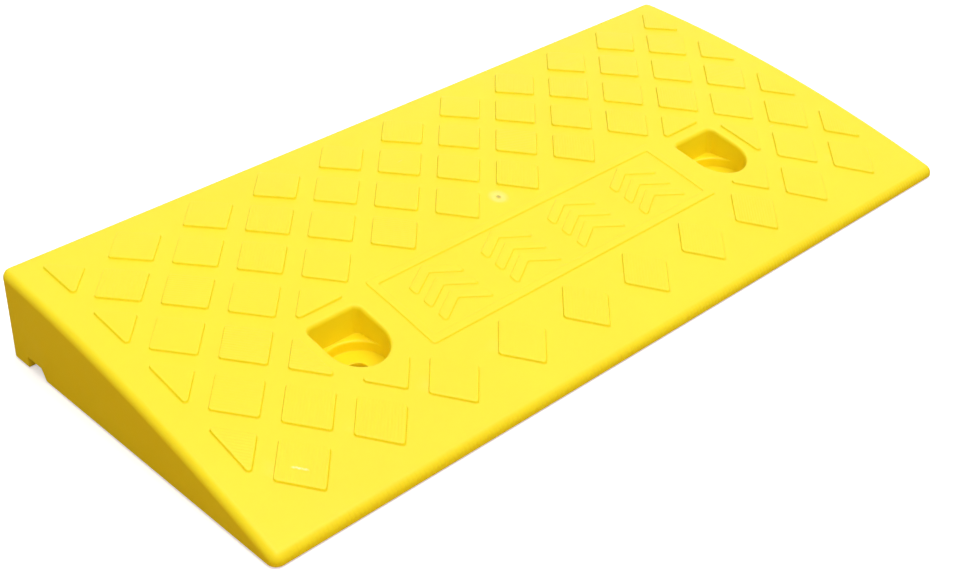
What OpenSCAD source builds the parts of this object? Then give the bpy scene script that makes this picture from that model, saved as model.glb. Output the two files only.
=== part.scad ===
// Kerb ramp: a one-piece moulded plastic wedge with a crowned diamond-tread deck,
// two counterbored anchor pockets, a ribbed hollow underside with a drain and cable
// channel along its rear, and eight press-in rubber feet.
// Frame: +X along the length, +Y from the thin front edge to the high rear wall, +Z up.
// The origin is the centre of the footprint on the ground, under the feet.

/* [Body] */
// Length of the ramp
body_l = 490; // [484:1:510]
// Depth from the front edge to the rear wall
body_d = 218; // [216:1:226]
// Height of the rear wall above the bottom rim
rear_h = 50; // [46:1:60]
// Height of the front edge above the bottom rim
front_h = 5; // [4.5:0.5:7]
// How far the deck crowns above a straight slope
deck_crown = 7.1; // [5:0.1:9]
// Plan radius of the four vertical corners
corner_r = 5; // [4:0.5:8]
// Rounding along the two side edges of the deck
side_round = 4.5; // [3:0.5:6]
// Rounding along the rear edge of the deck
rear_round = 3.5; // [2:0.5:5]
// Rounding along the front edge
front_round = 3.5; // [2:0.5:4]

/* [Shell and ribs] */
// Thickness of the deck
deck_t = 4; // [3:0.5:5]
// Thickness of the side and rear walls
wall_t = 4.5; // [4:0.5:6]
// Solid depth behind the front edge
lip_d = 12; // [11:1:13]
// Thickness of the ribs
rib_t = 2.6; // [2:0.2:3.6]
// Spacing of the ribs that run front to rear
rib_pitch_x = 35; // [34:1:36]
// Spacing of the ribs that run lengthwise
rib_pitch_y = 34; // [33:1:35]
// How far the ribs stop short of the bottom rim
rib_lift = 0.6; // [0.2:0.2:1]

/* [Tread] */
// Half diagonal of a tread diamond
pad_a = 16.2; // [12:0.1:17]
// Height of a tread diamond above the deck
pad_h = 1.2; // [0.6:0.1:2.5]
// Spacing of the diamonds along a row
pad_pitch = 45.5; // [44:0.5:46]
// Spacing of the rows
row_pitch = 23; // [22:0.5:24]
// Distance of the first row's centres from the front edge
first_row = 30.5; // [28:0.5:34]

/* [Centre frame] */
// Length of the raised frame over its outside
frame_l = 213; // [205:1:215]
// Width of the raised frame over its outside, measured front to rear in plan
frame_w = 50.4; // [48:0.2:52]
// Width of the raised frame's bar
frame_bar = 4.7; // [3:0.1:6]
// Height of the frame and of the chevrons above the deck
relief_h = 0.7; // [0.5:0.1:1.4]
// Width of one chevron stack
chevron_w = 33; // [26:1:38]

/* [Anchor pockets] */
// Distance from the middle to each anchor hole
pocket_x = 136.4; // [132:0.2:140]
// Distance of the anchor holes from the front edge
pocket_y = 74; // [70:0.5:78]
// Radius of the pocket's rounded front and of the round washer seat
pocket_r = 16.1; // [15:0.1:18]
// Distance from the anchor hole to the pocket's rear wall
pocket_back = 18.4; // [16:0.2:20]
// Radius of the pocket's two rear corners
pocket_corner = 3.5; // [1:0.5:5]
// Height of the pocket's ledge above the bottom rim
ledge_h = 15.5; // [13:0.25:17]
// Height of the washer seat above the bottom rim
seat_h = 10; // [9:0.25:12]
// Radius of the anchor hole
hole_r = 5.5; // [4:0.5:7]

/* [Drain channel] */
// Distance from the rear wall to the channel's upright side
channel_back = 17; // [16.5:0.5:22]
// Width of the channel at the ground
channel_w = 17.8; // [12:0.1:19]
// Height of the channel above the bottom rim
channel_h = 6.3; // [4:0.1:8]

/* [Feet] */
// Radius of a foot's pad
foot_r = 6; // [5:0.1:6.2]
// How far the feet stand below the bottom rim
foot_proud = 1; // [0.5:0.1:1.5]
// Radius of a foot's stem
stem_r = 3; // [2.5:0.1:3.5]
// Length of a foot's stem
stem_l = 4.6; // [3:0.1:5]
// Radial gap between a stem and its socket before the foot is glued
socket_gap = 0.05; // [0.02:0.01:0.1]

/* [Hidden] */

yellow = [1.0, 0.87, 0.16];
rubber = [0.07, 0.07, 0.075];

half_l = body_l / 2;
y_front = -body_d / 2;
y_rear = body_d / 2;
rim_z = foot_proud;           // the bottom rim, above the ground

// The deck is an arc about an axis along X, through the front and rear top edges.
chord = sqrt(pow(body_d, 2) + pow(rear_h - front_h, 2));
slope = atan2(rear_h - front_h, body_d);
deck_r = (pow(chord / 2, 2) + pow(deck_crown, 2)) / (2 * deck_crown);
arc_y = (deck_r - deck_crown) * sin(slope);
arc_z = rim_z + (rear_h + front_h) / 2 - (deck_r - deck_crown) * cos(slope);
function arc_height(radius, y) = arc_z + sqrt(pow(radius, 2) - pow(y - arc_y, 2));
function deck_z(y) = arc_height(deck_r, y);

arc_band = 120;               // radial depth of the revolved deck profile
round_slack = 0.03;           // extra radius that lets a rounding run out into its faces
hollow_corner = 6;            // plan radius of the hollow's corners

// Anchor pockets
anchor_y = y_front + pocket_y;
pocket_wall = 3;
seat_floor = 3.5;             // from the washer seat down to the block's underside
tube_r = 10;
tube_top = 12;                // above the rim

// Ribs
rib_x = [for (i = [-6 : 6]) i * rib_pitch_x];
rib_y = [for (j = [-1 : 3]) anchor_y + j * rib_pitch_y];
rib_z = rim_z + rib_lift;

// Feet: four near each long edge, on the ribs
foot_x = [for (i = [-6, -2, 2, 6]) i * rib_pitch_x];
foot_front_y = y_front + 21;
foot_rear_y = y_rear - 9.2;
recess_r = foot_r + 0.3;
recess_z = rim_z + 1;         // where a foot's pad seats
seat_gap = 0.05;              // between a pad and its recess
boss_wall = 1.7;
pad_chamfer = 0.5;
tip_l = 0.8;                  // length of the stem's tapered tip
tip_inset = 0.7;              // how much the tip narrows, in radius
socket_spare = 0.4;           // socket depth beyond the stem's length

// Channel
channel_lean = 4.1;           // how far the channel's front side leans to the rear

// Centre frame and chevrons
frame_front_y = y_front + 51.6;
chevron_pitch_x = 49.6;
chevron_pitch_y = 10.5;
chevron_rise = 9;
chevron_bar = 6;              // front to rear
relief_sink = 3;              // how far relief prisms start below the deck at their front

// Disc mark of the moulding gate, with a nub in its middle
gate_y = y_front + 114.5;
gate_r = 4.2;
gate_depth = 0.35;
nub_r = 1.4;
nub_h = 0.7;

// Whole diamonds at [column, row], with columns in pitches from the middle.
// The frame and the pockets interrupt rows 1 to 3.
whole = [for (row = [0 : 7])
          for (column = (row % 2 == 0) ? [-4.5 : 1 : 4.5] : [-4 : 1 : 4])
            if (!(row == 1 && abs(column) <= 3)
                && !(row == 2 && abs(column) <= 3.5)
                && !(row == 3 && abs(column) <= 3))
              [column, row]];

// A cylinder about the deck's arc axis
module about_arc(r) {
  translate([0, arc_y, arc_z]) rotate([0, 90, 0])
    cylinder(r = r, h = body_l, center = true, $fn = 720);
}

// Rounded rectangle block in plan
module plan_block(x0, x1, y0, y1, r, z0, z1) {
  translate([0, 0, z0]) linear_extrude(z1 - z0) {
    translate([x0 + r, y0]) square([x1 - x0 - 2 * r, y1 - y0]);
    translate([x0, y0 + r]) square([x1 - x0, y1 - y0 - 2 * r]);
    for (x = [x0 + r, x1 - r], y = [y0 + r, y1 - r])
      translate([x, y]) circle(r = r, $fn = 64);
  }
}

// The crowned deck with its two rounded side edges, as a body of revolution
module deck_form() {
  r = side_round;
  translate([0, arc_y, arc_z]) rotate([0, 90, 0])
    rotate_extrude($fn = 720) difference() {
      translate([deck_r - arc_band, -half_l]) square([arc_band, body_l]);
      for (side = [-1, 1]) difference() {
        translate([deck_r - r, side > 0 ? half_l - r : -half_l - 1]) square([r + 1, r + 1]);
        translate([deck_r - r, side * (half_l - r)]) circle(r = r + round_slack, $fn = 64);
      }
    }
}

// What the rounding along the rear (dir 1) or front (dir -1) edge takes away
module edge_cut(y, dir, r) {
  centre_y = y - dir * r;
  centre_z = arc_height(deck_r - r, centre_y);
  difference() {
    translate([-half_l - 1, dir > 0 ? centre_y : centre_y - r - 1, centre_z])
      cube([body_l + 2, r + 1, r + 4]);
    translate([0, centre_y, centre_z]) rotate([0, 90, 0])
      cylinder(r = r + round_slack, h = body_l + 4, center = true, $fn = 64);
  }
}

module outer_form() {
  difference() {
    intersection() {
      plan_block(-half_l, half_l, y_front, y_rear, corner_r, rim_z, rim_z + rear_h + 10);
      deck_form();
    }
    edge_cut(y_rear, 1, rear_round);
    edge_cut(y_front, -1, front_round);
  }
}

// Trims upright prisms to height h above the deck
module raised(h) {
  intersection() {
    children();
    about_arc(deck_r + h);
  }
}

// A tread diamond, or the half of it on the named side
module diamond(column, row, part = "whole") {
  y = y_front + first_row + row * row_pitch;
  right = [pad_a, 0];
  rear = [0, pad_a];
  left = [-pad_a, 0];
  front = [0, -pad_a];
  outline = part == "front" ? [left, front, right]
          : part == "rear" ? [right, rear, left]
          : part == "left" ? [rear, left, front]
          : part == "right" ? [front, right, rear]
          : [right, rear, left, front];
  translate([column * pad_pitch, y, deck_z(y - pad_a) - relief_sink])
    linear_extrude(14) polygon(outline);
}

module tread() {
  raised(pad_h) union() {
    for (place = whole) diamond(place[0], place[1]);
    // half diamonds at both ends of the odd rows
    for (row = [1 : 2 : 7]) {
      diamond(-5, row, "right");
      diamond(5, row, "left");
    }
    // half diamonds around each pocket
    for (side = [-1, 1]) {
      diamond(3 * side, 1, "front");
      diamond(3 * side, 3, "rear");
      diamond(3.5 * side, 2, side < 0 ? "left" : "right");
    }
  }
}

// One stack of three chevrons that point up the slope
module chevrons() {
  half_w = chevron_w / 2;
  low = -chevron_rise / 2;
  high = chevron_rise / 2;
  for (k = [-1 : 1]) translate([0, chevron_pitch_y * k - 1.5])
    polygon([[-half_w, low], [0, high], [half_w, low],
             [half_w, low + chevron_bar], [0, high + chevron_bar],
             [-half_w, low + chevron_bar]]);
}

module centre_frame() {
  raised(relief_h)
    translate([0, frame_front_y + frame_w / 2, deck_z(frame_front_y) - relief_sink])
    linear_extrude(22) {
      difference() {
        square([frame_l, frame_w], center = true);
        square([frame_l - 2 * frame_bar, frame_w - 2 * frame_bar], center = true);
      }
      for (i = [-1.5 : 1 : 1.5]) translate([i * chevron_pitch_x, -1]) chevrons();
    }
}

// D-shaped outline of a pocket: round at the front, two rounded corners at the rear
module pocket_outline(r, back, corner) {
  circle(r = r, $fn = 96);
  translate([-r, 0]) square([2 * r, back - corner]);
  translate([-r + corner, 0]) square([2 * (r - corner), back]);
  for (side = [-1, 1])
    translate([side * (r - corner), back - corner]) circle(r = corner, $fn = 48);
}

// Solid parts inside the hollow. Their tops run past the deck's underside,
// except the anchor tubes, which end inside the pocket blocks.
module inner_parts() {
  for (x = rib_x) translate([x - rib_t / 2, y_front, rib_z]) cube([rib_t, body_d, 60]);
  for (y = rib_y) translate([-half_l, y - rib_t / 2, rib_z]) cube([body_l, rib_t, 60]);
  // pocket blocks and anchor tubes
  for (side = [-1, 1]) translate([side * pocket_x, anchor_y, 0]) {
    translate([0, 0, rim_z + seat_h - seat_floor]) linear_extrude(50)
      pocket_outline(pocket_r + pocket_wall, pocket_back + pocket_wall,
                     pocket_corner + pocket_wall);
    translate([0, 0, rim_z - 2]) cylinder(r = tube_r, h = tube_top + 2, $fn = 64);
  }
  // foot bosses
  for (x = foot_x, y = [foot_front_y, foot_rear_y])
    translate([x, y, rib_z]) cylinder(r = recess_r + boss_wall, h = 30, $fn = 64);
}

module hollow() {
  difference() {
    intersection() {
      plan_block(-half_l + wall_t, half_l - wall_t, y_front + lip_d, y_rear - wall_t,
                 hollow_corner, rim_z - 1, rim_z + rear_h + 5);
      about_arc(deck_r - deck_t);
    }
    inner_parts();
  }
}

// Pocket down to its ledge, round washer seat, and anchor hole
module pocket_cut() {
  translate([0, 0, rim_z + ledge_h]) linear_extrude(50)
    pocket_outline(pocket_r, pocket_back, pocket_corner);
  translate([0, 0, rim_z + seat_h]) cylinder(r = pocket_r, h = 30, $fn = 96);
  translate([0, 0, rim_z - 5]) cylinder(r = hole_r, h = 30, $fn = 64);
}

module channel_cut() {
  back_y = y_rear - channel_back;
  front_y = back_y - channel_w;
  top_z = rim_z + channel_h;
  translate([-half_l - 5, 0, 0]) rotate([90, 0, 90]) linear_extrude(body_l + 10)
    polygon([[back_y, rim_z - 1], [back_y, top_z], [front_y + channel_lean, top_z],
             [front_y, rim_z], [front_y, rim_z - 1]]);
}

// Recess for a foot's pad and socket for its stem
module socket_cut(x, y) {
  translate([x, y, rim_z - 2]) cylinder(r = recess_r, h = recess_z - rim_z + 2, $fn = 64);
  translate([x, y, recess_z - 1])
    cylinder(r = stem_r + socket_gap, h = stem_l + socket_spare + 1, $fn = 64);
}

module gate_cut() {
  translate([0, gate_y, deck_z(gate_y) - gate_depth]) difference() {
    cylinder(r = gate_r, h = 5, $fn = 48);
    translate([0, 0, -1]) cylinder(r = nub_r, h = nub_h + 1, $fn = 32);
  }
}

module ramp_body() {
  color(yellow) difference() {
    union() {
      outer_form();
      tread();
      centre_frame();
    }
    hollow();
    for (side = [-1, 1]) translate([side * pocket_x, anchor_y, 0]) pocket_cut();
    channel_cut();
    for (x = foot_x, y = [foot_front_y, foot_rear_y]) socket_cut(x, y);
    gate_cut();
  }
}

// A press-in foot: round pad with a chamfered ground edge and a stem with a tapered tip
module foot(x, y) {
  top = recess_z - seat_gap;
  color(rubber) translate([x, y, 0]) rotate_extrude($fn = 64)
    polygon([[0, 0], [foot_r - pad_chamfer, 0], [foot_r, pad_chamfer], [foot_r, top],
             [stem_r, top], [stem_r, top + stem_l - tip_l],
             [stem_r - tip_inset, top + stem_l], [0, top + stem_l]]);
}

// Feet are numbered from -X to +X
module foot_front_1() { foot(foot_x[0], foot_front_y); }
module foot_front_2() { foot(foot_x[1], foot_front_y); }
module foot_front_3() { foot(foot_x[2], foot_front_y); }
module foot_front_4() { foot(foot_x[3], foot_front_y); }
module foot_rear_1() { foot(foot_x[0], foot_rear_y); }
module foot_rear_2() { foot(foot_x[1], foot_rear_y); }
module foot_rear_3() { foot(foot_x[2], foot_rear_y); }
module foot_rear_4() { foot(foot_x[3], foot_rear_y); }

ramp_body();
foot_front_1();
foot_front_2();
foot_front_3();
foot_front_4();
foot_rear_1();
foot_rear_2();
foot_rear_3();
foot_rear_4();
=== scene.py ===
"""A moulded yellow kerb ramp on eight rubber feet, standing on the ground plane z = 0.

The ramp's length runs along x. The low front edge faces -y, the high rear wall faces +y, and left
is -x. The crowned deck carries tread diamonds, a raised frame of chevrons and two anchor pockets.
The underside is hollow and ribbed. Sizes are in millimetres unless a comment says otherwise.
"""

import math

import bmesh
import bpy
import numpy as np
from mathutils import Matrix, Vector
from mathutils.geometry import delaunay_2d_cdt
from mathutils.kdtree import KDTree


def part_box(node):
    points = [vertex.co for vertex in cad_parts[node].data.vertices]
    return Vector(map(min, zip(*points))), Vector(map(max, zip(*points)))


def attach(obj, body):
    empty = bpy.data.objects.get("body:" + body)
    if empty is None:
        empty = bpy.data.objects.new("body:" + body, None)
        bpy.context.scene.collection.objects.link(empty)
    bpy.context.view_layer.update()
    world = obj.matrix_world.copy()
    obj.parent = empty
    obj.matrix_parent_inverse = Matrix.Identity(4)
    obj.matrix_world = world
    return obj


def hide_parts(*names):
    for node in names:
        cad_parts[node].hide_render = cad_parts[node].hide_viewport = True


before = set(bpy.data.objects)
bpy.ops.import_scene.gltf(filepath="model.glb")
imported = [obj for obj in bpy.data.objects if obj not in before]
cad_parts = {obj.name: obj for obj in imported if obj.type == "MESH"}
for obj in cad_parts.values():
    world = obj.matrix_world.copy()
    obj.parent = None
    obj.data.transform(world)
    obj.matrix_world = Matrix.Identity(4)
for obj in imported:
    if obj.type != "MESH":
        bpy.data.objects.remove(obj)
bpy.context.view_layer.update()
MM = 0.001                            # metres in a millimetre


# ---------------------------------------------------------------------------------------------
# Sizes. The envelope comes from the CAD body.
# ---------------------------------------------------------------------------------------------
box_low, box_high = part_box("ramp_body")
HALF_X = box_high.x * 1000.0
HALF_Y = box_high.y * 1000.0
RIM = box_low.z * 1000.0              # bottom rim above the ground
REAR_H, FRONT_H = 50.0, 5.0           # deck above the rim at the rear and front edges
CROWN = 7.1                           # rise of the deck's arc above its chord
CORNER_R = 5.0

PAD_A, PAD_H = 16.2, 1.2              # tread diamond: half diagonal and height
PAD_PITCH_X, PAD_PITCH_Y = 45.5, 23.0
PAD_ROW0_Y = -HALF_Y + 30.5

FRAME_L, FRAME_W, FRAME_BAR = 213.0, 50.4, 4.7
FRAME_Y = -HALF_Y + 51.6 + FRAME_W / 2
RELIEF = 0.7                          # height of the frame and chevrons
CHEVRON_PITCH_X, CHEVRON_PITCH_Y = 49.6, 10.5
CHEVRON_MID_Y = FRAME_Y - 2.5
CHEVRON_HALF_L, CHEVRON_RISE, CHEVRON_BAR = 16.5, 9.0, 6.0

POCKET_X, POCKET_Y, POCKET_R = 136.4, -HALF_Y + 74.0, 16.1
POCKET_BACK = 18.4                    # rear wall behind the centre of the round front
LEDGE_Z, SEAT_Z = RIM + 15.5, RIM + 10.0
LEDGE_CORNER_R = 2.8
HOLE_R = 5.5
GATE_Y = -HALF_Y + 114.5

DECK_T, WALL_T, FRONT_LIP = 4.0, 4.5, 12.0
RIB_T, RIB_LIFT = 2.6, 0.6            # ribs stop RIB_LIFT short of the rim
RIB_X, RIB_Y = 35.0, 34.0             # rib pitches
HOLLOW_X = HALF_X - WALL_T
HOLLOW_FRONT, HOLLOW_REAR = -HALF_Y + FRONT_LIP, HALF_Y - WALL_T
ABOVE_DECK = 70.0                     # a height clear of the whole deck

FOOT_X = [k * RIB_X for k in (-6, -2, 2, 6)]
FOOT_FRONT_Y, FOOT_REAR_Y = -HALF_Y + 21.0, HALF_Y - 9.2
FOOT_R, STEM_R, STEM_L = 6.0, 3.0, 4.6
SOCKET_R, SOCKET_Z = FOOT_R + 0.3, RIM + 1.0
FOOT_PLACES = [(x, y) for x in FOOT_X for y in (FOOT_FRONT_Y, FOOT_REAR_Y)]
POCKET_PLACES = [(side * POCKET_X, POCKET_Y) for side in (-1, 1)]

# The deck is an arc in the y-z plane over the chord between its front and rear edges.
CHORD = math.hypot(2 * HALF_Y, REAR_H - FRONT_H)
SLOPE = math.atan2(REAR_H - FRONT_H, 2 * HALF_Y)
ARC_R = ((CHORD / 2) ** 2 + CROWN ** 2) / (2 * CROWN)
ARC_Y = (ARC_R - CROWN) * math.sin(SLOPE)
ARC_Z = RIM + (REAR_H + FRONT_H) / 2 - (ARC_R - CROWN) * math.cos(SLOPE)


def deck(y, lift=0.0):
    """Height above the ground at y of the crowned deck, or of the arc lift outside it."""
    return ARC_Z + np.sqrt((ARC_R + lift) ** 2 - (np.asarray(y, float) - ARC_Y) ** 2)


def under(y):
    """Height of the deck's underside."""
    return deck(y, -DECK_T)


# ---------------------------------------------------------------------------------------------
# Outlines
# ---------------------------------------------------------------------------------------------
def rounded(points, radii, offset=0.0, step=4.0, corner_steps=5):
    """Points of a closed outline with its corners rounded, moved outwards by offset.

    Every offset gives the same number of points, so two offsets join ring to ring.
    """
    points = [np.array(p, float) for p in points]
    radii = list(np.broadcast_to(radii, len(points)))
    area = sum(a[0] * b[1] - b[0] * a[1] for a, b in zip(points, points[1:] + points[:1]))
    if area < 0:
        points, radii = points[::-1], radii[::-1]
    arcs, starts, ends = [], [], []
    before, after = points[-1:] + points[:-1], points[1:] + points[:1]
    for corner, previous, following, radius in zip(points, before, after, radii):
        way_in = (corner - previous) / np.linalg.norm(corner - previous)
        way_out = (following - corner) / np.linalg.norm(following - corner)
        normal_in = np.array([way_in[1], -way_in[0]])
        normal_out = np.array([way_out[1], -way_out[0]])
        turn = math.atan2(way_in[0] * way_out[1] - way_in[1] * way_out[0], float(way_in @ way_out))
        sign = 1.0 if turn > 0 else -1.0
        mitre = (normal_in + normal_out) / (1 + float(normal_in @ normal_out))
        centre = corner - sign * mitre * radius
        first = math.atan2(normal_in[1], normal_in[0])
        reach = sign * (radius + sign * offset)
        angles = [first + turn * k / corner_steps for k in range(corner_steps + 1)]
        arcs.append([centre + reach * np.array([math.cos(a), math.sin(a)]) for a in angles])
        # tangent points at offset 0 decide how an edge is divided
        starts.append(centre + sign * radius * normal_in)
        ends.append(centre + sign * radius * normal_out)
    out = []
    for i, arc in enumerate(arcs):
        j = (i + 1) % len(arcs)
        out += arc
        count = max(1, int(round(np.linalg.norm(starts[j] - ends[i]) / step)))
        p, q = arc[-1], arcs[j][0]
        out += [p + (q - p) * k / count for k in range(1, count)]
    return np.array(out)


def rectangle(x0, x1, y0, y1):
    return [(x0, y0), (x1, y0), (x1, y1), (x0, y1)]


def circle(centre_x, centre_y, radius, count):
    """Points round a circle. The radius may be an array with one value per point."""
    angle = np.arange(count) * 2 * math.pi / count
    return np.stack([centre_x + radius * np.cos(angle), centre_y + radius * np.sin(angle)], 1)


def arc_points(centre_x, centre_y, radius, start, sweep, steps):
    angles = [start + sweep * k / steps for k in range(steps + 1)]
    return [(centre_x + radius * math.cos(a), centre_y + radius * math.sin(a)) for a in angles]


def inside(points, poly):
    """Which of the points lie inside the closed polygon."""
    x, y = points[:, 0], points[:, 1]
    low, high = poly.min(0), poly.max(0)
    near = np.nonzero((x >= low[0]) & (x <= high[0]) & (y >= low[1]) & (y <= high[1]))[0]
    x, y = x[near], y[near]
    odd = np.zeros(len(near), bool)
    for (x0, y0), (x1, y1) in zip(poly, np.roll(poly, -1, axis=0)):
        if y0 != y1:
            odd ^= ((y0 > y) != (y1 > y)) & (x < (x1 - x0) * (y - y0) / (y1 - y0) + x0)
    result = np.zeros(len(points), bool)
    result[near] = odd
    return result


def between(points, polys):
    """Which of the points lie inside the first polygon and outside the others."""
    keep = inside(points, polys[0])
    for hole in polys[1:]:
        keep &= ~inside(points, hole)
    return keep


def grid_between(polys, step, gap):
    """Grid points between the polygons that keep more than gap from every outline point."""
    border = np.vstack(polys)
    low, high = border.min(0), border.max(0)
    grid_x = np.arange(math.floor(low[0] / step) * step + step / 2, high[0], step)
    grid_y = np.arange(math.floor(low[1] / step) * step + step / 2, high[1], step)
    grid = np.array([(x, y) for y in grid_y for x in grid_x]).reshape(-1, 2)
    grid = grid[between(grid, polys)]
    tree = KDTree(len(border))
    for k, (x, y) in enumerate(border):
        tree.insert((x, y, 0), k)
    tree.balance()
    return grid[np.array([tree.find((x, y, 0))[2] > gap for x, y in grid], bool)]


def regions(triangles, walls):
    """Groups triangles that join without crossing a wall.

    Gives the region of each triangle, the regions' triangles, and which triangles have an open side.
    """
    beside = {}
    for t, (a, b, c) in enumerate(triangles.tolist()):
        for p, q in ((a, b), (b, c), (c, a)):
            beside.setdefault((min(p, q), max(p, q)), []).append(t)
    neighbours = [[] for _ in triangles]
    open_side = np.zeros(len(triangles), bool)
    for edge, pair in beside.items():
        if edge in walls:
            continue
        if len(pair) == 1:
            open_side[pair[0]] = True
        else:
            neighbours[pair[0]].append(pair[1])
            neighbours[pair[1]].append(pair[0])
    region = np.full(len(triangles), -1)
    groups = []
    for t in range(len(triangles)):
        if region[t] >= 0:
            continue
        region[t] = len(groups)
        stack, group = [t], []
        while stack:
            current = stack.pop()
            group.append(current)
            for other in neighbours[current]:
                if region[other] < 0:
                    region[other] = len(groups)
                    stack.append(other)
        groups.append(group)
    return region, groups, open_side


# ---------------------------------------------------------------------------------------------
# A mesh under construction, and solids made from rings
# ---------------------------------------------------------------------------------------------
class Solid:
    def __init__(self):
        self.verts, self.faces = [], []

    def ring(self, xy, z):
        z = np.broadcast_to(np.asarray(z, float), (len(xy),))
        base = len(self.verts)
        self.verts.extend((float(a), float(b), float(c)) for (a, b), c in zip(xy, z))
        return list(range(base, base + len(xy)))

    def bands(self, rings):
        """Quads from each ring to the next: they face up where a ring lies outside the next."""
        for a, b in zip(rings, rings[1:]):
            for i in range(len(a)):
                j = (i + 1) % len(a)
                self.faces.append((a[i], a[j], b[j], b[i]))

    def fill(self, outer, holes, height, step, flip=False, margin=0.5):
        """Fills between the outer ring and the holes with triangles that follow height(x, y)."""
        border, polys, edges = [], [], []
        for ring in [outer, *holes]:
            start, count = len(border), len(ring)
            border += ring
            polys.append(np.array([self.verts[i][:2] for i in ring]))
            edges += [(start + k, start + (k + 1) % count) for k in range(count)]
        grid = grid_between(polys, step, margin * step)
        points = np.vstack([*polys, grid])
        corners, links, faces, origin, from_edge, _ = delaunay_2d_cdt(
            [Vector(p) for p in points], edges, [], 0, 1e-5)
        ids = border + self.ring(grid, height(grid[:, 0], grid[:, 1]))
        ids = [ids[sources[0]] for sources in origin]
        triangles = np.array(list(faces), int)
        xy = np.array([c[:] for c in corners])[triangles]
        side_a, side_b = xy[:, 1] - xy[:, 0], xy[:, 2] - xy[:, 0]
        area = 0.5 * (side_a[:, 0] * side_b[:, 1] - side_a[:, 1] * side_b[:, 0])

        # regions are bounded by the rings, and each is kept or dropped whole
        walls = {(min(e), max(e)) for e, sources in zip(links, from_edge) if len(sources)}
        region, groups, open_side = regions(triangles, walls)
        biggest = [g[int(np.argmax(np.abs(area[g])))] for g in groups]
        keep = between(xy[biggest].mean(1), polys)
        keep &= ~np.array([open_side[g].any() for g in groups])
        for t in np.nonzero(keep[region])[0]:
            a, b, c = triangles[t] if area[t] >= 0 else triangles[t][::-1]
            face = (ids[a], ids[b], ids[c])
            self.faces.append(face[::-1] if flip else face)

    def mesh(self, name):
        mesh = bpy.data.meshes.new(name)
        mesh.from_pydata([(x * MM, y * MM, z * MM) for x, y, z in self.verts], [], self.faces)
        mesh.validate()
        mesh.update()
        return mesh


def closed_loft(stations, top=None, step=8.0):
    """A closed solid from (outline, height) stations, lowest first, with a flat or shaped top."""
    solid = Solid()
    rings = [solid.ring(xy, z) for xy, z in stations]
    solid.bands(rings)
    if top:
        solid.fill(rings[-1], [], top, step)
    else:
        solid.faces.append(tuple(rings[-1]))
    solid.faces.append(tuple(rings[0][::-1]))
    return solid


def merge(solids):
    merged = Solid()
    for solid in solids:
        base = len(merged.verts)
        merged.verts += solid.verts
        merged.faces += [tuple(i + base for i in face) for face in solid.faces]
    return merged


def turned(places, profile, count):
    """The same turned solid at each place: profile is (radius, height), lowest first."""
    return merge([closed_loft([(circle(x, y, r, count), z) for r, z in profile])
                  for x, y in places])


def add_object(name, data):
    obj = bpy.data.objects.new(name, data)
    bpy.context.scene.collection.objects.link(obj)
    return obj


def closed_object(name, solid):
    """An object from a closed solid, with its faces turned outwards."""
    obj = add_object(name, solid.mesh(name))
    bm = bmesh.new()
    bm.from_mesh(obj.data)
    bmesh.ops.recalc_face_normals(bm, faces=bm.faces)
    bm.to_mesh(obj.data)
    bm.free()
    return obj


# ---------------------------------------------------------------------------------------------
# The ramp's upper solid: walls, crowned deck, tread, frame, chevrons, pockets
# ---------------------------------------------------------------------------------------------
body = Solid()

# Edges of raised shapes: (offset from the mid-height outline, height above the deck)
PAD_EDGE = [(0.48, 0.0), (0.29, 0.04), (0.15, 0.15), (0.06, 0.36),
            (0.0, 0.66), (-0.07, 0.95), (-0.22, 1.13), (-0.50, PAD_H)]
LOW_EDGE = [(0.42, 0.0), (0.27, 0.03), (0.14, 0.13), (0.04, 0.29),
            (-0.05, 0.45), (-0.15, 0.58), (-0.30, 0.67), (-0.52, RELIEF)]

# Corners of whole and halved tread diamonds, as multiples of PAD_A from the centre
PAD_SHAPES = {"whole": [(1, 0), (0, 1), (-1, 0), (0, -1)],
              "front": [(-1, 0), (0, -1), (1, 0)],
              "rear": [(1, 0), (0, 1), (-1, 0)],
              "left": [(0, 1), (-1, 0), (0, -1)],
              "right": [(0, -1), (1, 0), (0, 1)]}

# Pocket mouth: (offset from the wall, height above the deck)
POCKET_MOUTH = [(1.6, 0.0), (1.10, -0.09), (0.68, -0.36), (0.32, -0.82), (0.09, -1.42), (0.0, -2.2)]
# Wall down to the ledge: (offset from the wall, height above the ledge, height where it closes up)
LEDGE_REAR = [(-0.06, 0.34, 0.34), (-0.13, 0.11, 0.14), (-0.30, 0.0, 0.03)]
# Ledge over its round inner edge: (distance outside the seat's wall, depth, depth where closed up)
LEDGE_INNER = [(1.3, 0.0, 0.03), (0.82, 0.10, 0.10), (0.42, 0.36, 0.20),
               (0.14, 0.76, 0.30), (0.0, 1.25, 0.45)]
# Foot of the seat's wall: (radius beyond POCKET_R, height above the seat)
SEAT_EDGE = [(-0.06, 0.8), (-0.30, 0.25), (-0.85, 0.0)]
# Seat and through hole: (radius beyond HOLE_R, height above the ground)
SEAT_HOLE = [(5.0, SEAT_Z), (0.6, SEAT_Z), (0.18, SEAT_Z - 0.18), (0.0, SEAT_Z - 0.6),
             (0.0, RIM + 0.5), (0.15, RIM + 0.15), (0.5, RIM)]

# Gate mark: (radius, height above the deck) of the dished disc, then of the stub in its middle
GATE_DISH = [(4.7, 0.0), (4.4, -0.03), (4.15, -0.12), (3.9, -0.24), (3.5, -0.30), (1.8, -0.31)]
GATE_STUB = [(1.45, -0.26), (1.3, -0.06), (1.1, 0.10)]


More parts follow.
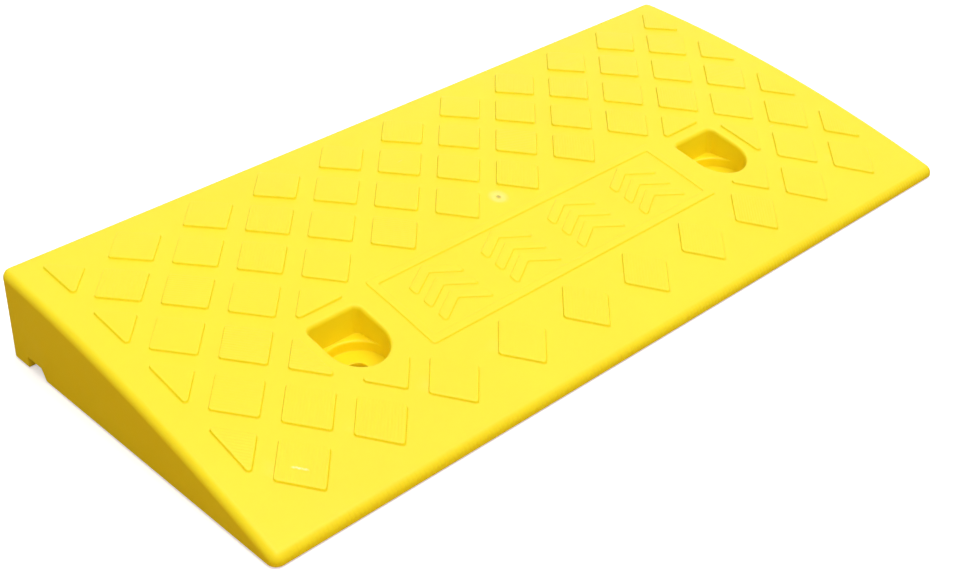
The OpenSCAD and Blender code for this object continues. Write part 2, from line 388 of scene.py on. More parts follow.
def edge_outline():
    """Points and outward normals round the plan, counter-clockwise from the front left."""
    x, y, r = HALF_X, HALF_Y, CORNER_R
    corner_steps = 10
    sides = [((-x + r, -y), (x - r, -y), (0, -1), 0.4),      # start, end, normal, step
             ((x, -y + r), (x, y - r), (1, 0), 3.0),
             ((x - r, y), (-x + r, y), (0, 1), 4.0),
             ((-x, y - r), (-x, -y + r), (-1, 0), 3.0)]
    points, normals = [], []
    for side, (*ends, normal, step) in enumerate(sides):
        start, end, normal = (np.array(v, float) for v in (*ends, normal))
        count = max(1, int(round(np.linalg.norm(end - start) / step)))
        points += [start + (end - start) * k / count for k in range(count)]
        normals += [normal] * count
        for k in range(corner_steps):
            angle = math.radians(90.0 * (side - 1) + 90.0 * k / corner_steps)
            normals.append(np.array([math.cos(angle), math.sin(angle)]))
            points.append(end - r * normal + r * normals[-1])
    return np.array(points), np.array(normals)


EDGE_XY, EDGE_NORMAL = edge_outline()


def edge_fillet():
    """Radius of the rounding between wall and deck at each outline point."""
    height = deck(EDGE_XY[:, 1]) - RIM
    side = np.minimum(4.5, 0.72 * height)
    end = np.where(EDGE_NORMAL[:, 1] > 0, 3.6, 3.4)
    side_share = EDGE_NORMAL[:, 0] ** 2
    return np.minimum(side * side_share + end * (1 - side_share), 0.78 * height)


def front_flutes():
    """Depth at each outline point of the fine upright flutes along the front edge's rounding."""
    pitch, depth, fade = 2.4, 0.24, 8.0
    x = EDGE_XY[:, 0]
    front = (EDGE_NORMAL[:, 1] < -0.999) & (np.abs(x) < HALF_X - CORNER_R - 1)
    taper = np.clip((HALF_X - CORNER_R - np.abs(x)) / fade, 0, 1)
    return np.where(front, 0.5 - 0.5 * np.cos(x * 2 * math.pi / pitch), 0.0) * taper * depth


def outer_wall():
    """The wall and its rounding. Gives the bottom ring and the edge of the deck."""
    fillet, flutes = edge_fillet(), front_flutes()
    rings = [body.ring(EDGE_XY - EDGE_NORMAL * inset, RIM + z)
             for inset, z in ((0.55, 0.0), (0.16, 0.16), (0.0, 0.55))]
    for k in range(10):
        angle = math.radians(k * 10.0)
        inset = fillet * (1 - math.cos(angle))
        y = (EDGE_XY - EDGE_NORMAL * inset[:, None])[:, 1]
        z = deck(y) - fillet * (1 - math.sin(angle))
        flute_share = math.cos(angle) ** 0.7 if k < 9 else 0.0
        rings.append(body.ring(EDGE_XY - EDGE_NORMAL * (inset + flutes * flute_share)[:, None], z))
    body.bands(rings)
    return rings[0], rings[-1]


def deck_ring(xy, height):
    return body.ring(xy, deck(xy[:, 1]) + height)


def raise_shape(points, profile, radius, step, corner_steps, fill_step):
    """A shape standing on the deck. Gives its foot ring."""
    rings = [deck_ring(rounded(points, radius, offset, step, corner_steps), height)
             for offset, height in profile]
    body.bands(rings)
    body.fill(rings[-1], [], lambda x, y: deck(y) + profile[-1][1], fill_step)
    return rings[0]


def pad_layout():
    """(column, row, shape) of each tread diamond, with room left for the raised frame."""
    frame_reach = {1: 3, 2: 3.5, 3: 3}     # row: last column taken by the frame
    pads = []
    for row in range(8):
        columns = [c - 4.0 for c in range(9)] if row % 2 else [c - 4.5 for c in range(10)]
        pads += [(c, row, "whole") for c in columns if abs(c) > frame_reach.get(row, -1)]
        if row % 2:
            pads += [(-5, row, "right"), (5, row, "left")]
    for side, half in ((-1, "left"), (1, "right")):
        pads += [(3 * side, 1, "front"), (3 * side, 3, "rear"), (3.5 * side, 2, half)]
    return pads


PADS = pad_layout()


def pad_centre(column, row):
    return column * PAD_PITCH_X, PAD_ROW0_Y + row * PAD_PITCH_Y


def tread_pad(column, row, shape):
    x, y = pad_centre(column, row)
    points = [(x + PAD_A * a, y + PAD_A * b) for a, b in PAD_SHAPES[shape]]
    return raise_shape(points, PAD_EDGE, radius=1.6, step=3.8, corner_steps=6, fill_step=4.6)


def raised_frame():
    """The rectangular bar. Gives its outer and inner foot rings."""
    def edge(half_x, half_y, radius, side):
        points = rectangle(-half_x, half_x, FRAME_Y - half_y, FRAME_Y + half_y)
        return [deck_ring(rounded(points, radius, side * o), h) for o, h in LOW_EDGE]

    outer = edge(FRAME_L / 2, FRAME_W / 2, 1.6, 1)
    body.bands(outer)
    # the foot of the inner edge lies inside the opening, so its offsets run the other way
    inner = edge(FRAME_L / 2 - FRAME_BAR, FRAME_W / 2 - FRAME_BAR, 1.2, -1)
    body.bands(inner[::-1])
    body.fill(outer[-1], [inner[-1]], lambda x, y: deck(y) + RELIEF, 2.2, margin=0.6)
    return outer[0], inner[0]


def chevron(x, y):
    """A chevron pointing to the rear, its arms' front edges centred on y."""
    low, high = y - CHEVRON_RISE / 2, y + CHEVRON_RISE / 2
    left, right = x - CHEVRON_HALF_L, x + CHEVRON_HALF_L
    points = [(left, low), (x, high), (right, low),
              (right, low + CHEVRON_BAR), (x, high + CHEVRON_BAR), (left, low + CHEVRON_BAR)]
    return raise_shape(points, LOW_EDGE, radius=1.35, step=2.2, corner_steps=5, fill_step=2.4)


def pocket_outline(centre_x, offset, corner_r=3.5):
    """Half-round front, straight sides, rear wall with small corner radii."""
    side_steps, rear_steps, corner_steps = 6, 10, 7
    half = POCKET_R + offset
    rear = POCKET_Y + POCKET_BACK
    side_end = rear - corner_r
    corner_x = POCKET_R - corner_r
    points = arc_points(centre_x, POCKET_Y, half, math.pi, math.pi, 32)
    points += [(centre_x + half, POCKET_Y + (side_end - POCKET_Y) * k / side_steps)
               for k in range(1, side_steps)]
    points += arc_points(centre_x + corner_x, side_end, corner_r + offset,
                         0.0, 0.5 * math.pi, corner_steps)
    points += [(centre_x + corner_x * (1 - 2 * k / rear_steps), rear + offset)
               for k in range(1, rear_steps)]
    points += arc_points(centre_x - corner_x, side_end, corner_r + offset,
                         0.5 * math.pi, 0.5 * math.pi, corner_steps)
    points += [(centre_x - half, side_end + (POCKET_Y - side_end) * k / side_steps)
               for k in range(1, side_steps)]
    return np.array(points)


def anchor_pocket(centre_x):
    """Pocket, ledge, washer seat and through hole. Gives the mouth and bottom rings.

    The ledge is only at the back, where the walls stand outside the round washer seat. Round the
    front the wall runs straight down to the seat, so the rings of the ledge close up there.
    """
    rings = [deck_ring(pocket_outline(centre_x, o), h) for o, h in POCKET_MOUTH]
    centre = (centre_x, POCKET_Y)
    wall_foot = pocket_outline(centre_x, 0.0, LEDGE_CORNER_R)
    away = wall_foot - centre
    radius = np.hypot(away[:, 0], away[:, 1])
    away = away / radius[:, None]
    full = np.clip(np.maximum(radius - POCKET_R, 0.0) / 2.2, 0, 1)   # 1 where the ledge is whole
    wide = full[:, None]

    for offset, height, closed in LEDGE_REAR:
        moved = pocket_outline(centre_x, offset, LEDGE_CORNER_R) - wall_foot
        rings.append(body.ring(wall_foot + moved * wide,
                               LEDGE_Z + (height * full + closed * (1 - full))))
    for out, depth, closed in LEDGE_INNER:
        rings.append(body.ring(away * (POCKET_R + out * wide) + centre,
                               LEDGE_Z - (depth * full + closed * (1 - full))))
    for out, height in SEAT_EDGE:
        rings.append(body.ring(away * (POCKET_R + out) + centre, SEAT_Z + height))
    rear_count = len(wall_foot) - 32
    angle = np.concatenate([math.pi + math.pi * np.arange(33) / 32,
                            math.pi * np.arange(1, rear_count) / rear_count])
    even = np.stack([np.cos(angle), np.sin(angle)], 1)
    for out, z in SEAT_HOLE:
        rings.append(body.ring(even * (HOLE_R + out) + centre, z))
    body.bands(rings)
    return rings[0], rings[-1]


def gate_mark():
    """A shallow dished disc with the broken-off gate stub in the middle."""
    count = 48
    angle = np.arange(count) * 2 * math.pi / count
    uneven = 1 + 0.07 * np.cos(2 * angle + 0.6) + 0.05 * np.cos(5 * angle + 1.1)
    rings = [deck_ring(circle(0, GATE_Y, r, count), h) for r, h in GATE_DISH]
    rings += [deck_ring(circle(0, GATE_Y, r * uneven, count), h) for r, h in GATE_STUB]
    body.bands(rings)

    def broken_top(x, y):
        return deck(y) + 0.10 + 0.07 * np.cos(3.1 * x + 1.3) * np.cos(2.7 * (y - GATE_Y))

    body.fill(rings[-1], [], broken_top, 0.6)
    return rings[0]


def build_upper():
    bottom, deck_edge = outer_wall()
    deck_holes = [tread_pad(*pad) for pad in PADS]
    frame_outer, frame_inner = raised_frame()
    deck_holes.append(frame_outer)
    chevrons = [chevron(column * CHEVRON_PITCH_X, CHEVRON_MID_Y + row * CHEVRON_PITCH_Y)
                for column in (-1.5, -0.5, 0.5, 1.5) for row in (-1, 0, 1)]
    body.fill(frame_inner, chevrons, lambda x, y: deck(y), 3.5)
    pockets = [anchor_pocket(x) for x, _ in POCKET_PLACES]
    deck_holes += [mouth for mouth, _ in pockets]
    deck_holes.append(gate_mark())
    body.fill(deck_edge, deck_holes, lambda x, y: deck(y), 5.0)
    # underneath: a flat face that the hollow is cut from
    body.fill(bottom, [hole for _, hole in pockets], lambda x, y: np.full(len(x), RIM), 30.0,
              flip=True)


# ---------------------------------------------------------------------------------------------
# The underside: ribbed hollow, anchor tubes, foot sockets and drain channel
# ---------------------------------------------------------------------------------------------
def rib_gaps(first, ribs, last):
    """(start, end) of each gap between ribs centred on the given places."""
    bounds = [first] + [rib + side * RIB_T / 2 for rib in ribs for side in (-1, 1)] + [last]
    return list(zip(bounds[::2], bounds[1::2]))


def cell(x0, x1, y0, y1):
    """One space between the ribs, with draft, rounded corners and a fillet under the deck."""
    bottom = RIM + RIB_LIFT
    points = rectangle(x0, x1, y0, y1)
    # the four corners of the whole hollow are rounder
    radii = [5.0 if abs(x) == HOLLOW_X and y in (HOLLOW_FRONT, HOLLOW_REAR) else 2.0
             for x, y in points]
    stations = [(rounded(points, radii, offset, 8.0, 4), bottom + z)
                for offset, z in ((0.42, -0.12), (0.12, 0.18), (0.0, 0.5))]
    for offset, drop in ((-0.30, 1.4), (-0.62, 0.55), (-1.15, 0.14), (-1.6, 0.0)):
        xy = rounded(points, radii, offset, 8.0, 4)
        stations.append((xy, np.maximum(under(xy[:, 1]) - drop, bottom + 0.9 - 0.2 * drop)))
    return closed_loft(stations, lambda x, y: under(y), 7.0)


def cells():
    columns = rib_gaps(-HOLLOW_X, [k * RIB_X for k in range(-6, 7)], HOLLOW_X)
    rows = rib_gaps(HOLLOW_FRONT, [POCKET_Y + k * RIB_Y for k in range(-1, 4)], HOLLOW_REAR)
    return merge([cell(*column, *row) for row in rows for column in columns])


def block_outline(centre_x, offset):
    half = POCKET_R + 3.0 + offset
    corner_r = 2.5
    corner_y = POCKET_Y + POCKET_BACK + 3.0 + offset - corner_r
    points = arc_points(centre_x, POCKET_Y, half, math.pi, math.pi, 32)
    for side, start in ((1, 0.0), (-1, 0.5 * math.pi)):
        points += arc_points(centre_x + side * (half - corner_r), corner_y, corner_r,
                             start, 0.5 * math.pi, 5)
    return np.array(points)


def blocks():
    """The solid round each pocket, drafted, reaching up into the deck."""
    stations = ((-0.8, SEAT_Z - 3.5), (-0.25, SEAT_Z - 3.3), (0.0, SEAT_Z - 2.8), (0.5, ABOVE_DECK))
    return merge([closed_loft([(block_outline(x, offset), z) for offset, z in stations])
                  for x, _ in POCKET_PLACES])


def tubes():
    """The tube round each anchor hole, down to the rim."""
    return turned(POCKET_PLACES, ((9.6, RIM), (9.88, RIM + 0.12), (10.0, RIM + 0.4),
                                  (10.35, SEAT_Z - 1.5)), 64)


def bosses():
    """The solid round each foot socket."""
    foot = RIM + RIB_LIFT
    return turned(FOOT_PLACES, ((SOCKET_R + 1.3, foot), (SOCKET_R + 1.6, foot + 0.12),
                                (SOCKET_R + 1.7, foot + 0.4), (SOCKET_R + 2.0, ABOVE_DECK)), 48)


def recess():
    """The shallow step from the rim up to the ribs."""
    points = rectangle(-HOLLOW_X - 0.5, HOLLOW_X + 0.5, HOLLOW_FRONT - 0.5, HOLLOW_REAR + 0.5)
    stations = ((0.35, RIM - 1.0), (0.35, RIM - 0.02), (0.08, RIM + 0.25), (0.0, RIM + RIB_LIFT))
    return closed_loft([(rounded(points, 6.5, offset, 20.0, 8), z) for offset, z in stations])


def channel():
    """The drain and cable channel along the rear, through both end walls and every cross rib."""
    rear, width, height, slant = HALF_Y - 17.0, 17.8, 6.3, 4.1
    front, top, below = rear - width, RIM + height, RIM - 3
    profile = rounded(
        [(rear, below), (rear, top), (front + slant, top), (front, RIM), (front, below)],
        [0.2, 0.9, 0.9, 0.3, 0.2], step=50.0)
    count = len(profile)
    solid = Solid()
    solid.verts = [(x, float(y), float(z)) for x in (-HALF_X - 4, HALF_X + 4) for y, z in profile]
    for i in range(count):
        j = (i + 1) % count
        solid.faces.append((count + i, count + j, j, i))
    solid.faces.append(tuple(range(count)))
    solid.faces.append(tuple(range(2 * count - 1, count - 1, -1)))
    return solid


def sockets():
    """The recess for each foot's pad and the blind hole for its stem."""
    mouth = RIM + RIB_LIFT
    return turned(FOOT_PLACES, (
        (SOCKET_R + 0.5, RIM - 1.0), (SOCKET_R + 0.5, mouth - 0.15), (SOCKET_R + 0.12, mouth + 0.1),
        (SOCKET_R, mouth + 0.35), (SOCKET_R - 0.05, SOCKET_Z),
        (STEM_R + 0.35, SOCKET_Z), (STEM_R + 0.05, SOCKET_Z + 0.3),
        (STEM_R + 0.05, SOCKET_Z + STEM_L + 0.2), (STEM_R - 0.5, SOCKET_Z + STEM_L + 0.45)), 48)


def cut(target, tool):
    """Subtracts the tool from the target's mesh and removes the tool."""
    modifier = target.modifiers.new("cut", "BOOLEAN")
    modifier.operation, modifier.object, modifier.solver = "DIFFERENCE", tool, "MANIFOLD"
    depsgraph = bpy.context.evaluated_depsgraph_get()
    depsgraph.update()
    result = bpy.data.meshes.new_from_object(target.evaluated_get(depsgraph), depsgraph=depsgraph)
    target.modifiers.remove(modifier)
    old = target.data
    target.data = result
    bpy.data.meshes.remove(old)
    tool_mesh = tool.data
    bpy.data.objects.remove(tool)
    bpy.data.meshes.remove(tool_mesh)


def build_ramp():
    build_upper()
    moulding = add_object("ramp_moulding", body.mesh("ramp_moulding"))
    hollow = closed_object("hollow", cells())
    for maker in (blocks, tubes, bosses):
        cut(hollow, closed_object(maker.__name__, maker()))
    step = closed_object("recess", recess())
    cut(step, closed_object("tubes2", tubes()))
    for tool in (hollow, step, closed_object("channel", channel()),
                 closed_object("sockets", sockets())):
        cut(moulding, tool)
    return moulding


ramp = build_ramp()


# ---------------------------------------------------------------------------------------------
# Rubber feet
# ---------------------------------------------------------------------------------------------
def lathe(name, profile, centre_x, centre_y, count=48):
    """A closed turned piece: profile is (radius, height) from bottom centre to top centre."""
    solid = Solid()
    rings = [solid.ring(circle(centre_x, centre_y, r, count), z) for r, z in profile[1:-1]]
    solid.bands(rings)
    low = len(solid.verts)
    solid.verts += [(centre_x, centre_y, profile[0][1]), (centre_x, centre_y, profile[-1][1])]
    for i in range(count):
        j = (i + 1) % count
        solid.faces.append((low, rings[0][j], rings[0][i]))
        solid.faces.append((low + 1, rings[-1][i], rings[-1][j]))
    return closed_object(name, solid)


def foot_profile(top):
    """Pad with a rounded edge and concentric grip ridges underneath, and a ribbed stem."""
    profile = [(0, 0.32), (0.55, 0.30), (0.9, 0.04), (1.25, 0.0)]
    for r in (1.9, 3.2, 4.5):      # grooves between the grip ridges
        profile += [(r - 0.30, 0.0), (r - 0.12, 0.05), (r + 0.05, 0.32),
                    (r + 0.30, 0.32), (r + 0.47, 0.05), (r + 0.65, 0.0)]
    profile += [(FOOT_R - 0.65, 0.0), (FOOT_R - 0.35, 0.06), (FOOT_R - 0.1, 0.26), (FOOT_R, 0.6),
                (FOOT_R, top - 0.35), (FOOT_R - 0.08, top - 0.1), (FOOT_R - 0.3, top),
                (STEM_R + 0.3, top), (STEM_R - 0.12, top + 0.2)]
    for k in range(3):             # press-in barbs
        z = top + 0.7 + 1.15 * k
        profile += [(STEM_R - 0.25, z), (STEM_R, z + 0.35), (STEM_R, z + 0.6),
                    (STEM_R - 0.25, z + 0.85)]
    profile += [(STEM_R - 0.3, top + STEM_L - 0.5), (STEM_R - 0.9, top + STEM_L),
                (0, top + STEM_L)]
    return profile


feet = []
for row_name, foot_y in (("front", FOOT_FRONT_Y), ("rear", FOOT_REAR_Y)):
    for number, foot_x in enumerate(FOOT_X, 1):
        piece = lathe(f"rubber_foot_{row_name}_{number}", foot_profile(SOCKET_Z - 0.05),
                      foot_x, foot_y)
        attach(piece, "root")
        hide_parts(f"foot_{row_name}_{number}")
        feet.append(piece)


# ---------------------------------------------------------------------------------------------
# Surface attributes and shading
# ---------------------------------------------------------------------------------------------
def mark_surface(mesh):
    """Stores tread marks and their direction, pad tone, and height above the deck."""
    co = np.zeros(len(mesh.vertices) * 3, np.float32)
    mesh.vertices.foreach_get("co", co)
    co = co.reshape(-1, 3).astype(float) * 1000.0
    relief = co[:, 2] - deck(co[:, 1])
    hatch = np.zeros(len(co))
    tone = np.zeros(len(co))
    rng = np.random.default_rng(41)
    for column, row, _ in PADS:
        x, y = pad_centre(column, row)
        on_top = (np.abs(co[:, 0] - x) + np.abs(co[:, 1] - y) < PAD_A - 0.1)
        on_top &= relief > PAD_H - 0.12
        strength = rng.choice([0.25, 0.5, 0.8, 1.0])
        direction = 1.0 if rng.random() < 0.55 else -1.0
        if row == 0:
            direction = -1.0
        hatch[on_top] = direction * strength
        tone[on_top] = 0.35 + 0.65 * rng.random()
    for name, values in (("hatch", hatch), ("pad_tone", tone), ("relief", np.clip(relief, -3, 3))):
        attribute = mesh.attributes.new(name, "FLOAT", "POINT")
        attribute.data.foreach_set("value", values.astype(np.float32))


def smooth(obj, angle):
    """Smooth shading with edges sharper than angle kept sharp, and flats kept flat."""
    mesh = obj.data
    mesh.shade_smooth()
    bm = bmesh.new()
    bm.from_mesh(mesh)
    limit = math.radians(angle)
    for edge in bm.edges:
        edge.smooth = not (len(edge.link_faces) == 2 and edge.calc_face_angle(0.0) > limit)
    bm.to_mesh(mesh)
    bm.free()
    modifier = obj.modifiers.new("normals", "WEIGHTED_NORMAL")
    modifier.keep_sharp = True
    modifier.weight = 50


mark_surface(ramp.data)
smooth(ramp, 32.0)
for foot in feet:
    smooth(foot, 40.0)
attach(ramp, "root")
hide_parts("ramp_body")


# ---------------------------------------------------------------------------------------------
# Materials: lengths inside them are in metres
# ---------------------------------------------------------------------------------------------
class Nodes:
    """A material with a Principled shader, and short ways to add nodes to it."""

    def __init__(self, name):
        self.mat = bpy.data.materials.new(name)
        self.mat.use_nodes = True
        self.tree = self.mat.node_tree
        self.tree.nodes.clear()
        output = self.new("ShaderNodeOutputMaterial")
        self.bsdf = self.new("ShaderNodeBsdfPrincipled")
        self.put(output.inputs[0], self.bsdf.outputs[0])

    def new(self, kind, **props):
        node = self.tree.nodes.new(kind)
        for key, value in props.items():
            setattr(node, key, value)
        return node

    def put(self, socket, value):
        """Links another socket, or sets a plain value."""
        if isinstance(value, bpy.types.NodeSocket):
            self.tree.links.new(value, socket)
        else:
            socket.default_value = value

    def shade(self, inputs):
        for name, value in inputs.items():
            self.put(self.bsdf.inputs[name], value)

    def coords(self):
        return self.new("ShaderNodeTexCoord").outputs["Object"]

    def attribute(self, name):
        return self.new("ShaderNodeAttribute", attribute_name=name).outputs["Fac"]

    def math(self, operation, a, b=0.0, clamp=False):
        node = self.new("ShaderNodeMath", operation=operation, use_clamp=clamp)
        for socket, value in zip(node.inputs, (a, b, 0.0)):
            self.put(socket, value)
        return node.outputs[0]

    def times(self, a, b):
        return self.math("MULTIPLY", a, b)

    def noise(self, vector, scale, detail=2.0, rough=0.5, distortion=0.0):
        node = self.new("ShaderNodeTexNoise")
        for name, value in (("Vector", vector), ("Scale", scale), ("Detail", detail),
                            ("Roughness", rough), ("Distortion", distortion)):
            self.put(node.inputs[name], value)
        return node.outputs["Fac"]

    def ramp(self, factor, stops):
        """A colour ramp: stops are (position, colour)."""
        node = self.new("ShaderNodeValToRGB")
        elements = node.color_ramp.elements
        while len(elements) > 1:
            elements.remove(elements[-1])
        elements[0].position = stops[0][0]
        elements[0].color = (*stops[0][1], 1)
        for position, colour in stops[1:]:
            elements.new(position).color = (*colour, 1)
        self.put(node.inputs[0], factor)
        return node.outputs[0]

    def mix(self, amount, base, colour):
        node = self.new("ShaderNodeMix", data_type="RGBA", blend_type="MIX")
        self.put(node.inputs[0], amount)
        for socket, value in ((node.inputs[6], base), (node.inputs[7], colour)):
            self.put(socket, value if isinstance(value, bpy.types.NodeSocket) else (*value, 1))
        return node.outputs[2]

    def tint(self, base, mask, strength, colour):
        return self.mix(self.times(mask, strength), base, colour)

    def remap(self, value, span, to, smoothstep=False):
        node = self.new("ShaderNodeMapRange")
        if smoothstep:
            node.interpolation_type = "SMOOTHSTEP"
        for socket, item in zip(node.inputs[:5], (value, *span, *to)):
            self.put(socket, item)
        return node.outputs[0]

    def fade(self, value, span):
        """Falls smoothly from 1 to 0 over the span."""
        return self.remap(value, span=span, to=(1.0, 0.0), smoothstep=True)

    def bump(self, height, strength, distance, normal=None):
        node = self.new("ShaderNodeBump")
        self.put(node.inputs["Strength"], strength)
        self.put(node.inputs["Distance"], distance)
        self.put(node.inputs["Height"], height)
        if normal is not None:
            self.put(node.inputs["Normal"], normal)
        return node.outputs[0]


DIAGONAL = 0.7071                     # cosine of the diamonds' edge direction
GLINT_X, GLINT_Y = -207.4, -80.1          # centre of the painted glint


def gate_tint(g, base, x, y, z):
    """Pales the deck round the gate and darkens the stub."""
    from_gate = g.math("POWER", g.math("ADD", y, -GATE_Y * MM), 2.0)
    distance = g.math("SQRT", g.math("ADD", g.times(x, x), from_gate))
    blush = g.times(g.fade(distance, span=(0.0026, 0.0068)),
                    g.remap(z, span=(0.020, 0.026), to=(0.0, 1.0)))
    base = g.tint(base, blush, strength=0.36, colour=(0.99, 0.91, 0.44))
    stub = g.fade(distance, span=(0.0008, 0.0016))
    return g.tint(base, stub, strength=g.times(blush, 0.70), colour=(0.40, 0.30, 0.06))


def scuffs(g, coords):
    """Sparse handling scuffs, stretched along one direction."""
    mapping = g.new("ShaderNodeMapping")
    mapping.inputs["Rotation"].default_value = (0, 0, math.radians(-17))
    mapping.inputs["Scale"].default_value = (14.0, 170.0, 30.0)
    g.put(mapping.inputs[0], coords)
    streaks = g.noise(mapping.outputs[0], scale=3.0, distortion=0.2)
    return g.remap(streaks, span=(0.805, 0.85), to=(0.0, 0.6))


def painted_glint(g, coords, across, along, z):
    """A painted glint: one bright highlight streak on the pad nearest the front left corner."""
    ragged = 0.0005                   # depth of the mark's uneven sides
    mark_across = (GLINT_X + GLINT_Y) * DIAGONAL * MM
    mark_along = (GLINT_Y - GLINT_X) * DIAGONAL * MM
    uneven = g.math("ADD", across, g.times(g.noise(coords, scale=700.0), ragged))
    off_across = g.math("ABSOLUTE", g.math("SUBTRACT", uneven, mark_across + ragged / 2))
    off_along = g.math("ABSOLUTE", g.math("SUBTRACT", along, mark_along))
    glint_mask = g.times(g.fade(off_across, span=(0.0002, 0.0008)),
                  g.fade(off_along, span=(0.0022, 0.0045)))
    patchy = g.noise(coords, scale=420.0, detail=3.0, rough=0.6)
    glint_mask = g.times(glint_mask, g.remap(patchy, span=(0.38, 0.55), to=(0.2, 1.0)))
    above_z = 0.004                   # keeps the mark off the underside
    return g.times(glint_mask, g.math("GREATER_THAN", z, above_z))


def cutter_marks(g, coords, across, along):
    """Fine lines on the tread tops, along one or the other pair of the diamonds' edges."""
    sway = 0.0006
    wobble = g.times(g.noise(coords, scale=60.0), sway)
    hatch = g.attribute("hatch")

    def lines(position, pitch):
        wave = g.math("SINE", g.times(g.math("ADD", position, wobble), 2 * math.pi / pitch))
        return g.times(g.math("ADD", wave, 1.0), 0.5)

    plus = g.math("MAXIMUM", hatch, 0.0)
    minus = g.math("MAXIMUM", g.times(hatch, -1.0), 0.0)
    return g.math("ADD", g.times(lines(across, pitch=0.00165), plus),
                  g.times(lines(along, pitch=0.00150), minus))


def yellow_plastic():
    g = Nodes("yellow_moulded_plastic")
    coords = g.coords()
    split = g.new("ShaderNodeSeparateXYZ")
    g.put(split.inputs[0], coords)
    x, y, z = split.outputs
    tone = g.attribute("pad_tone")

    # colour: faint flow clouds, slightly deeper on the tread tops, paler round the gate
    cloud = g.noise(coords, scale=9.0, detail=3.0, rough=0.55, distortion=0.6)
    base = g.ramp(cloud, stops=[(0.30, (0.968, 0.745, 0.004)), (0.52, (0.975, 0.762, 0.005)),
                                (0.72, (0.980, 0.775, 0.007))])
    fine = g.noise(coords, scale=420.0, rough=0.6)
    base = g.mix(g.remap(fine, span=(0.35, 0.75), to=(0.0, 0.08)), base, colour=(0.99, 0.82, 0.02))
    base = g.tint(base, tone, strength=0.35, colour=(0.975, 0.748, 0.002))
    base = gate_tint(g, base, x, y, z)

    # painted highlight: convex edges a little paler, in patches
    pointiness = g.new("ShaderNodeNewGeometry").outputs["Pointiness"]
    patchy = g.noise(coords, scale=70.0, detail=4.0, rough=0.65)
    convex_highlight = g.times(g.remap(pointiness, span=(0.52, 0.62), to=(0.0, 1.0)),
                   g.remap(patchy, span=(0.42, 0.62), to=(0.1, 1.0)))
    base = g.tint(base, convex_highlight, strength=0.16, colour=(0.99, 0.86, 0.16))

    # the two diagonal directions of the diamonds' edges
    across = g.times(g.math("ADD", x, y), DIAGONAL)
    along = g.times(g.math("SUBTRACT", y, x), DIAGONAL)
    # handling scuffs and one painted highlight glint on the front left pad, both tinted pale
    scuffs_and_glint = g.math("MAXIMUM", scuffs(g, coords), painted_glint(g, coords, across, along, z))
    base = g.tint(base, scuffs_and_glint, strength=0.8, colour=(1.0, 0.97, 0.62))

    # gloss: satin moulding, a touch smoother on the tread tops and duller on scuffs and the painted
    # glint
    pad_gloss, scuff_dulling = 0.06, 0.15
    rough = g.remap(g.noise(coords, scale=55.0, detail=4.0, rough=0.6),
                    span=(0.3, 0.7), to=(0.40, 0.50))
    rough = g.math("SUBTRACT", rough, g.times(tone, pad_gloss))
    rough = g.math("ADD", rough, g.times(scuffs_and_glint, scuff_dulling), clamp=True)

    # surface: moulded grain, faint orange peel, cutter marks, scuffs and the painted glint
    grain = g.noise(coords, scale=1500.0, rough=0.6)
    normal = g.bump(grain, strength=0.35, distance=0.00004)
    peel = g.noise(coords, scale=130.0)
    normal = g.bump(peel, strength=0.25, distance=0.00015, normal=normal)
    marks = cutter_marks(g, coords, across, along)
    normal = g.bump(marks, strength=0.85, distance=0.00009, normal=normal)
    normal = g.bump(scuffs_and_glint, strength=0.3, distance=0.00005, normal=normal)
    g.shade({"Base Color": base, "Roughness": rough, "Normal": normal,
             "IOR": 1.49, "Specular IOR Level": 0.42,
             "Subsurface Weight": 0.55, "Subsurface Radius": (1.0, 0.85, 0.10),
             "Subsurface Scale": 0.0024})
    return g.mat


def black_rubber():
    g = Nodes("black_foot_rubber")
    coords = g.coords()
    base = g.ramp(g.noise(coords, scale=160.0, detail=4.0, rough=0.6),
                  stops=[(0.3, (0.012, 0.012, 0.013)), (0.7, (0.028, 0.028, 0.030))])
    dust = g.remap(g.noise(coords, scale=900.0, detail=3.0, rough=0.7),
                   span=(0.55, 0.75), to=(0.0, 0.35))
    base = g.mix(dust, base, colour=(0.085, 0.083, 0.080))
    rough = g.remap(g.noise(coords, scale=300.0, detail=3.0, rough=0.6),
                    span=(0.3, 0.7), to=(0.72, 0.9))
    grain = g.noise(coords, scale=1800.0, detail=3.0, rough=0.65)
    g.shade({"Base Color": base, "Roughness": rough, "Specular IOR Level": 0.35,
             "Normal": g.bump(grain, strength=0.5, distance=0.00006)})
    return g.mat


def pale_floor():
    """Near white to the camera, warm brown in the light it throws back, dark in reflections."""
    g = Nodes("pale_floor")
    base = g.ramp(g.noise(g.coords(), scale=1.2),
                  stops=[(0.3, (0.90, 0.90, 0.90)), (0.7, (0.915, 0.915, 0.915))])
    rays = g.new("ShaderNodeLightPath").outputs
    base = g.mix(rays["Is Camera Ray"], base=(0.50, 0.24, 0.10), colour=base)
    base = g.mix(rays["Is Glossy Ray"], base, colour=(0.03, 0.03, 0.03))
    camera_glow = 0.45
    g.shade({"Base Color": base, "Emission Color": (1, 1, 1, 1),
             "Emission Strength": g.times(rays["Is Camera Ray"], camera_glow),
             "Roughness": 0.9, "Specular IOR Level": 0.1})
    return g.mat


YELLOW, RUBBER = yellow_plastic(), black_rubber()
ramp.data.materials.clear()
ramp.data.materials.append(YELLOW)
for foot in feet:
    foot.data.materials.append(RUBBER)
for node_name, node_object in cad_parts.items():
    for material_slot in node_object.material_slots:
        material_slot.material = RUBBER if node_name.startswith("foot") else YELLOW


# ---------------------------------------------------------------------------------------------
# Studio: plain pale floor, soft light from above, camera
# ---------------------------------------------------------------------------------------------
def add_floor():
    half = 12.0                       # metres
    mesh = bpy.data.meshes.new("floor")
    corners = [(x, y, 0) for x, y in rectangle(-half, half, -half, half)]
    mesh.from_pydata(corners, [], [(0, 1, 2, 3)])
    floor = add_object("floor", mesh)
    mesh.materials.append(pale_floor())


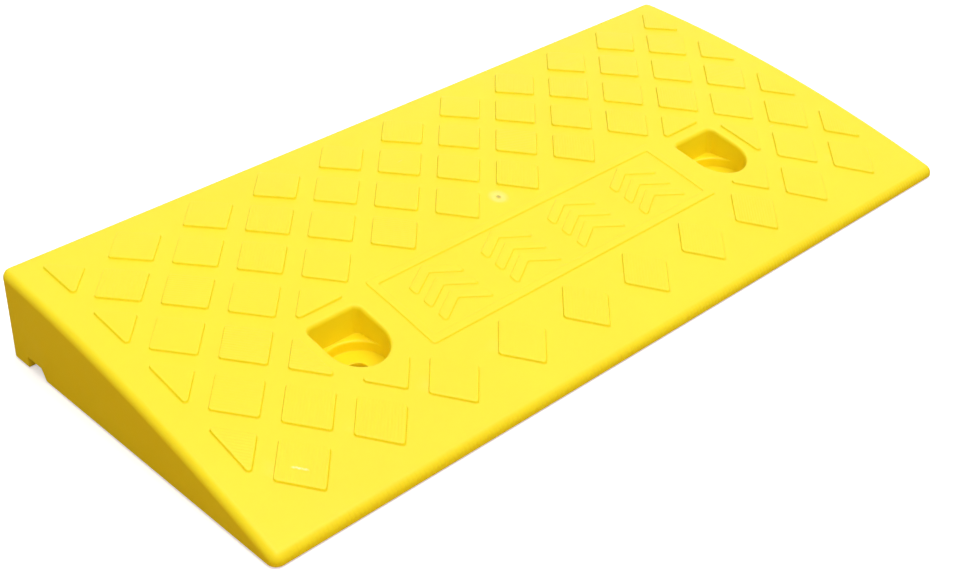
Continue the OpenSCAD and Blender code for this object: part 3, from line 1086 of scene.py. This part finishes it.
def add_world():
    """White surroundings, a little darker in reflections than as a source of light."""
    light_strength, glossy_strength = 0.45, 0.30
    world = bpy.data.worlds.new("studio")
    bpy.context.scene.world = world
    world.use_nodes = True
    tree = world.node_tree
    background = tree.nodes["Background"]
    background.inputs["Color"].default_value = (1.0, 1.0, 1.0, 1)
    background.inputs["Strength"].default_value = light_strength
    rays = tree.nodes.new("ShaderNodeLightPath")
    dim = tree.nodes.new("ShaderNodeMapRange")
    dim.inputs["To Min"].default_value = light_strength
    dim.inputs["To Max"].default_value = glossy_strength
    tree.links.new(rays.outputs["Is Glossy Ray"], dim.inputs["Value"])
    tree.links.new(dim.outputs["Result"], background.inputs["Strength"])


def add_sun(name, towards, energy, spread, colour=(1, 1, 1), diffuse=True, glossy=True):
    """A sun: towards points from the ramp to the light, spread is its width in degrees."""
    light = bpy.data.lights.new(name, "SUN")
    light.energy, light.angle, light.color = energy, math.radians(spread), colour
    sun = bpy.data.objects.new(name, light)
    sun.rotation_euler = Vector(towards).to_track_quat("Z", "Y").to_euler()
    sun.visible_diffuse, sun.visible_glossy = diffuse, glossy
    bpy.context.scene.collection.objects.link(sun)


def add_camera():
    azimuth, elevation, roll = (math.radians(a) for a in (-38.720, 26.067, -3.036))
    distance, target = 1009.63, Vector((41.54, 188.07, RIM))
    back = Vector((math.sin(azimuth) * math.cos(elevation),
                   -math.cos(azimuth) * math.cos(elevation), math.sin(elevation)))
    level = (-back).cross(Vector((0, 0, 1))).normalized()
    upright = level.cross(-back)
    right = level * math.cos(roll) + upright * math.sin(roll)
    up = -level * math.sin(roll) + upright * math.cos(roll)
    place = (target + back * distance) * MM
    data = bpy.data.cameras.new("camera")
    data.sensor_fit = "HORIZONTAL"
    data.sensor_width = 36.0
    data.lens = 58.483125
    data.shift_x = 0.14253125
    data.shift_y = -0.16365625
    data.clip_end = 50.0
    camera = bpy.data.objects.new("camera", data)
    camera.matrix_world = Matrix((*zip(right, up, back, place), (0, 0, 0, 1)))
    bpy.context.scene.collection.objects.link(camera)
    bpy.context.scene.camera = camera


add_floor()
add_world()
add_sun("overhead_softbox", towards=(0.15, -0.20, 0.97), energy=1.70, spread=44.0)
add_sun("camera_fill", towards=(-0.42, -0.58, 0.70), energy=0.64, spread=60.0,
        colour=(1.0, 0.90, 0.72), glossy=False)
add_sun("back_sheen", towards=(0.58, 0.47, 0.67), energy=1.20, spread=85.0, diffuse=False)
add_camera()
bpy.context.scene.view_settings.view_transform = "Standard"
bpy.context.scene.view_settings.look = "None"

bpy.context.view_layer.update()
